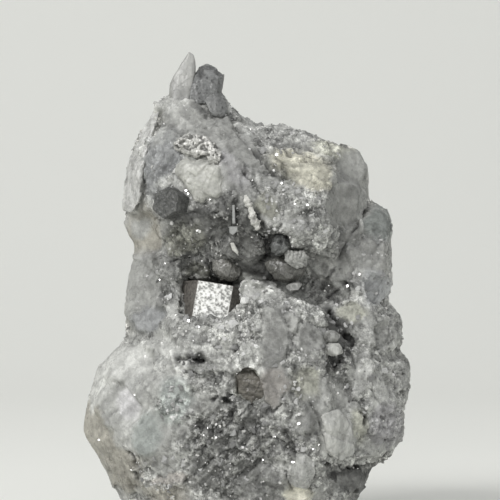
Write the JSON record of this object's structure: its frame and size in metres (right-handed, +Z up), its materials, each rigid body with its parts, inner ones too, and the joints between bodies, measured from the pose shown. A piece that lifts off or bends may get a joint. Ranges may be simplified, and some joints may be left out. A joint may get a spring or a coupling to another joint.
{
  "type": "fluorapatite crystal on quartz-mica matrix",
  "caption": "Rugged grey quartz-mica rock with a stubby hexagonal fluorapatite prism in its cavity and blade, stub and grain crystals around it; stands on a flat broken base.",
  "frame": {"origin": "middle of the flat broken base the specimen stands on", "axes": "+Z up along the specimen's height, front with the fluorapatite towards -Y, +X to the right seen from the front"},
  "size_m": [0.0494, 0.0338, 0.0711],
  "materials": {
    "matrix": "matte",
    "apatite": "gloss",
    "dark_crystal": "satin",
    "grey_crystal": "satin",
    "pale_quartz": "satin",
    "glassy_quartz": "gloss",
    "silvery_sulphide": "satin",
    "brown_quartz": "satin"
  },
  "bodies": {
    "root": {"matrix_rock": "matrix", "fluorapatite_crystal": "apatite", "side_prism_crystal": "dark_crystal", "crown_blade_crystal": "pale_quartz", "crown_stub_crystal": "dark_crystal", "crown_foot_crystal": "grey_crystal", "rim_plate_crystal": "pale_quartz", "quartz_knob": "pale_quartz", "silvery_cluster": "silvery_sulphide", "vein_blade_crystal": "pale_quartz", "upright_blade_crystal": "pale_quartz", "tablet_crystal": "pale_quartz", "small_blade_crystal": "pale_quartz", "cavity_grain_left": "glassy_quartz", "cavity_grain_middle": "dark_crystal", "cavity_grain_right": "glassy_quartz", "cavity_cap_crystal": "pale_quartz", "cavity_lens_crystal": "glassy_quartz", "fissure_grain_upper": "pale_quartz", "fissure_grain_lower": "pale_quartz", "brown_tablet_crystal": "brown_quartz", "clear_slab_crystal": "glassy_quartz", "wedge_crystal": "pale_quartz"}
  },
  "joints": []
}
